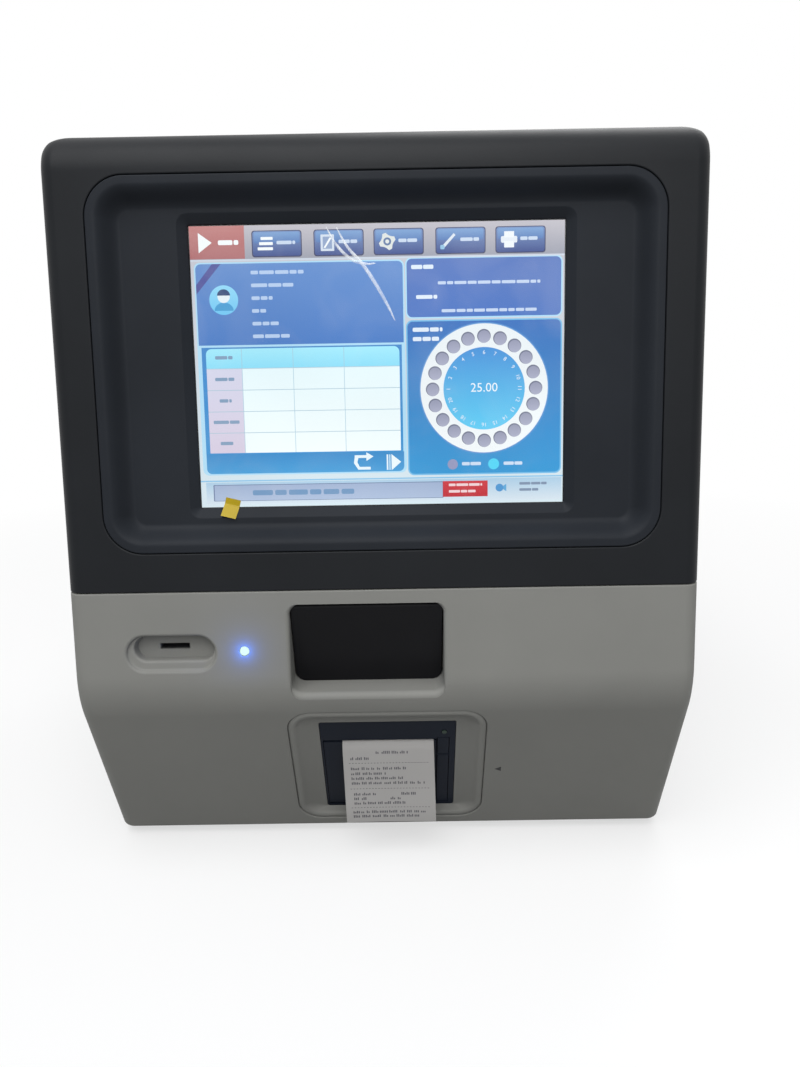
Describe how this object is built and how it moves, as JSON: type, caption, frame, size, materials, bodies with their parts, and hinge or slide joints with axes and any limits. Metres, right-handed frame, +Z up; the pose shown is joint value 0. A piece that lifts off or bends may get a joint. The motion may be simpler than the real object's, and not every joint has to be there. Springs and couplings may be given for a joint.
{
  "type": "rapid test reader",
  "caption": "Bench-top rapid test reader with a leaning touch screen, a flapped cassette inlet, a card recess and a receipt printer.",
  "frame": {"origin": "on the bench under the middle of the casing", "axes": "+Z up, +X to the right seen from the front, +Y to the back; the screen faces -Y"},
  "size_m": [0.366, 0.35, 0.438],
  "materials": {
    "dark_housing": "fine-textured dark grey moulding",
    "dark_dish": "smooth dark grey moulding",
    "touch_glass": "clear touch glass over a lit display",
    "display": "lit display module",
    "clear_film": "clear protective film",
    "yellow_film": "translucent yellow film",
    "light_housing": "fine-textured light grey moulding",
    "black_plastic": "black moulding",
    "printer_plastic": "satin blue-black moulding",
    "blue_lens": "lit blue lens",
    "green_lens": "green light pipe",
    "rubber": "black rubber",
    "white_plastic": "white moulding",
    "bright_steel": "bright ground steel",
    "sheet_steel": "zinc-plated sheet steel",
    "circuit_board": "green circuit board",
    "paper": "white thermal paper"
  },
  "bodies": {
    "housing": {"screen_frame": "dark_housing", "upper_cover": "dark_housing", "screen_bezel": "dark_dish", "touch_glass": "touch_glass", "lcd_module": "display", "lcd_bracket": "sheet_steel", "main_board": "circuit_board", "screen_film": "clear_film", "film_tab": "yellow_film", "lower_fascia": "light_housing", "left_side_panel": "light_housing", "right_side_panel": "light_housing", "printer_surround": "light_housing", "card_reader": "black_plastic", "status_lamp": "blue_lens", "cassette_guide": "black_plastic", "printer_body": "printer_plastic", "printer_lamp": "green_lens", "thermal_head": "bright_steel", "base_tray": "sheet_steel", "rear_panel": "sheet_steel", "socket_plate": "sheet_steel", "foot_front_left": "rubber", "foot_front_right": "rubber", "foot_rear_left": "rubber", "foot_rear_right": "rubber", "fan_frame": "black_plastic", "power_inlet": "black_plastic", "power_switch": "black_plastic", "usb_port": "bright_steel", "network_port": "bright_steel", "serial_port": "bright_steel", "power_supply": "sheet_steel", "drive_bracket": "sheet_steel", "bearing_housing": "bright_steel", "carousel_motor": "black_plastic", "scan_bridge": "sheet_steel", "scan_rail_left": "bright_steel", "scan_rail_right": "bright_steel", "scan_motor": "black_plastic"},
    "flap": {"inlet_flap": "black_plastic"},
    "carousel_wheel": {"carousel": "white_plastic", "carousel_gear": "white_plastic", "carousel_shaft": "bright_steel"},
    "pinion": {"motor_pinion": "bright_steel"},
    "scan_unit": {"scan_carriage": "black_plastic", "scan_head": "black_plastic"},
    "screw": {"lead_screw": "bright_steel"},
    "door": {"printer_door": "printer_plastic", "paper_strip": "paper"},
    "platen": {"platen_roller": "rubber", "platen_gear": "white_plastic"},
    "roll": {"paper_roll": "paper"},
    "feed_key": {"feed_button": "printer_plastic"},
    "release_key": {"door_release": "printer_plastic"},
    "fan": {"fan_rotor": "black_plastic"},
    "rocker": {"power_rocker": "black_plastic"}
  },
  "joints": [
    {"name": "flap_hinge", "type": "hinge", "parent": "housing", "child": "flap", "pos_m": [-0.01, -0.1648, 0.17642], "axis": [1, 0, 0], "range_deg": [0, 70], "stiffness_Nm_per_rad": 0.01, "springref_deg": -11.46},
    {"name": "carousel_spin", "type": "hinge", "parent": "housing", "child": "carousel_wheel", "pos_m": [-0.01, 0, 0.1], "axis": [0, 0, 1], "continuous": true},
    {"name": "pinion_spin", "type": "hinge", "parent": "housing", "child": "pinion", "pos_m": [0.0623, 0, 0.11], "axis": [0, 0, 1], "continuous": true},
    {"name": "scan_slide", "type": "slide", "parent": "housing", "child": "scan_unit", "axis": [0, 1, 0], "range_m": [0, 0.026]},
    {"name": "screw_spin", "type": "hinge", "parent": "housing", "child": "screw", "pos_m": [-0.01, 0.09, 0.15], "axis": [0, 1, 0], "range_deg": [0, 1180]},
    {"name": "door_hinge", "type": "hinge", "parent": "housing", "child": "door", "pos_m": [0.0005, -0.13017, 0.02552], "axis": [1, 0, 0], "range_deg": [0, 60]},
    {"name": "platen_spin", "type": "hinge", "parent": "door", "child": "platen", "pos_m": [0.0005, -0.14627, 0.08139], "axis": [1, 0, 0], "continuous": true},
    {"name": "roll_spin", "type": "hinge", "parent": "housing", "child": "roll", "pos_m": [0.0005, -0.11769, 0.05958], "axis": [1, 0, 0], "continuous": true},
    {"name": "feed_press", "type": "slide", "parent": "housing", "child": "feed_key", "axis": [0, 0.9317, 0.3633], "range_m": [0, 0.002], "stiffness_N_per_m": 300, "springref_m": -0.001},
    {"name": "release_press", "type": "slide", "parent": "housing", "child": "release_key", "axis": [0, 0.9317, 0.3633], "range_m": [0, 0.002], "stiffness_N_per_m": 500, "springref_m": -0.001},
    {"name": "fan_spin", "type": "hinge", "parent": "housing", "child": "fan", "pos_m": [-0.095, 0.16, 0.122], "axis": [0, 1, 0], "continuous": true},
    {"name": "rocker_tilt", "type": "hinge", "parent": "housing", "child": "rocker", "pos_m": [-0.075, 0.16805, 0.052], "axis": [1, 0, 0], "range_deg": [-18, 0]}
  ],
  "couplings": [
    {"joint": "pinion_spin", "follows": "carousel_spin", "ratio": -5},
    {"joint": "screw_spin", "follows": "scan_slide", "rad_per_m": 785.4},
    {"joint": "roll_spin", "follows": "platen_spin", "ratio": 0.23077}
  ]
}
